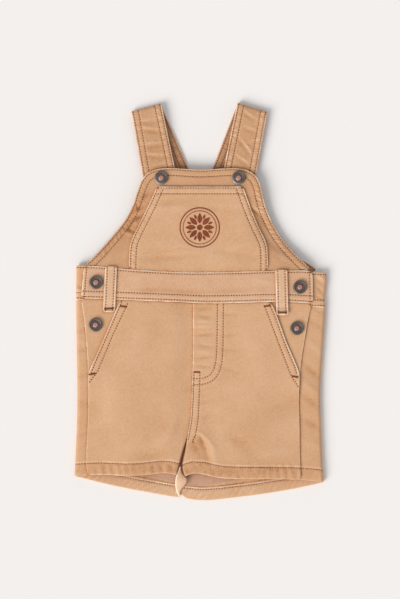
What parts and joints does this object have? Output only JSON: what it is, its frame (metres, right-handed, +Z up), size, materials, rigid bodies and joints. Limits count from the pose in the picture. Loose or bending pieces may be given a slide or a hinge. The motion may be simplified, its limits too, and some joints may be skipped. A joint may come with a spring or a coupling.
{
  "type": "baby shortalls laid flat",
  "caption": "Baby shortalls in tan cotton twill laid flat, with a pocketed bib, folded straps, belt loops, slanted pockets, a mock fly, turned hems and metal snap caps.",
  "frame": {"origin": "on the surface that the garment lies on, at the middle of its footprint", "axes": "+Y from the hems towards the straps, +X to the viewer's right with the front up, +Z up off the surface"},
  "size_m": [0.2655, 0.4195, 0.0136],
  "materials": {
    "twill": "garment-dyed cotton twill, matte",
    "snap_metal": "antiqued gunmetal, worn",
    "thread": "rust-brown polyester sewing thread",
    "embroidery": "rust-brown satin-stitch embroidery"
  },
  "bodies": {
    "root": {"back_left": "twill", "back_right": "twill", "back_waistband": "twill", "back_bib": "twill", "strap_left": "twill", "strap_right": "twill", "bib_front": "twill", "bib_pocket": "twill", "front_waistband": "twill", "side_panel_left": "twill", "side_panel_right": "twill", "front_left": "twill", "front_right": "twill", "belt_loop_left": "twill", "belt_loop_right": "twill", "inseam_hem": "twill", "button_bib_left": "snap_metal", "button_bib_right": "snap_metal", "button_waist_left": "snap_metal", "button_waist_right": "snap_metal", "button_side_left": "snap_metal", "button_side_right": "snap_metal"}
  },
  "joints": []
}
